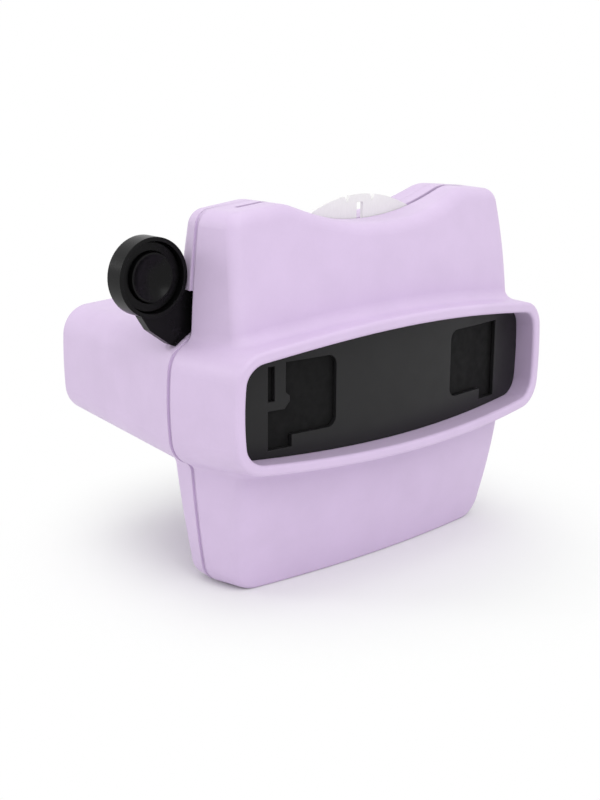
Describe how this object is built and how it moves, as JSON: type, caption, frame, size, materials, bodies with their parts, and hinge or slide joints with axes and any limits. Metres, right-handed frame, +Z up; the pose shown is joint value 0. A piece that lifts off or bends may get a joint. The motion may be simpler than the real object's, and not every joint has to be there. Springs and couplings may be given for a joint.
{
  "type": "stereo slide viewer",
  "caption": "Lilac hand-held stereo slide viewer with a picture reel, a thumb lever at the side, a dark window plate in front and an eye hood behind.",
  "frame": {"origin": "On the seam between the two shells, in the middle of the flat underside", "axes": "+Z is up, -Y points out of the light windows, +Y points to the eyes, +X is right as seen from the windows. Rest pose: lever released, claw in the card."},
  "size_m": [0.144, 0.0934, 0.1085],
  "materials": {
    "lilac_shell": "soft satin, slightly rubbery",
    "dark_plate": "smooth satin",
    "black_inner": "matt, unpainted",
    "black_lever": "smooth, half gloss",
    "frosted_sheet": "frosted",
    "reel_card": "smooth white card",
    "film": "glossy film base",
    "spring_steel": "bright spring steel",
    "pin_steel": "zinc plated",
    "bumper_rubber": "soft rubber",
    "lens_clear": "clear moulded lens"
  },
  "bodies": {
    "housing": {"front_shell": "lilac_shell", "rear_shell": "lilac_shell", "window_plate": "dark_plate", "light_shaft_left": "black_inner", "light_shaft_right": "black_inner", "film_gate_front": "black_inner", "film_gate_rear": "black_inner", "diffuser_left": "frosted_sheet", "diffuser_right": "frosted_sheet", "carrier_pin": "black_inner", "lever_pin": "pin_steel", "lever_washer": "pin_steel", "lever_bumper": "bumper_rubber", "return_spring": "spring_steel", "lens_board": "black_inner", "lens_left": "lens_clear", "lens_right": "lens_clear", "lens_ring_left": "black_inner", "lens_ring_right": "black_inner", "septum": "black_inner", "shell_screws": "pin_steel", "gate_screws": "pin_steel"},
    "lever": {"lever": "black_lever", "knob_ring": "black_lever", "knob_dish": "black_lever"},
    "carrier": {"claw_carrier": "black_inner", "claw_rivet": "spring_steel"},
    "claw": {"claw": "spring_steel"},
    "reel": {"reel_disc": "reel_card", "reel_film": "film"}
  },
  "joints": [
    {"name": "lever_press", "type": "hinge", "parent": "housing", "child": "lever", "pos_m": [-0.0315, 0.0033, 0.0295], "axis": [0, -1, 0], "range_deg": [0, 17.14], "stiffness_Nm_per_rad": 0.25, "springref_deg": -20.05},
    {"name": "carrier_turn", "type": "hinge", "parent": "housing", "child": "carrier", "pos_m": [0, 0, 0.0633], "axis": [0, 1, 0], "range_deg": [0, 51.43]},
    {"name": "reel_turn", "type": "hinge", "parent": "housing", "child": "reel", "pos_m": [0, -0.0049, 0.0633], "axis": [0, 1, 0], "range_deg": [0, 51.43]},
    {"name": "claw_lift", "type": "hinge", "parent": "carrier", "child": "claw", "pos_m": [-0.02119, -0.0006, 0.04816], "axis": [-0.3237, 0, -0.9462], "range_deg": [0, 4.8], "stiffness_Nm_per_rad": 0.01, "springref_deg": -4.58}
  ],
  "couplings": [
    {"joint": "carrier_turn", "follows": "lever_press", "ratio": 3},
    {"joint": "reel_turn", "follows": "lever_press", "ratio": 3}
  ]
}
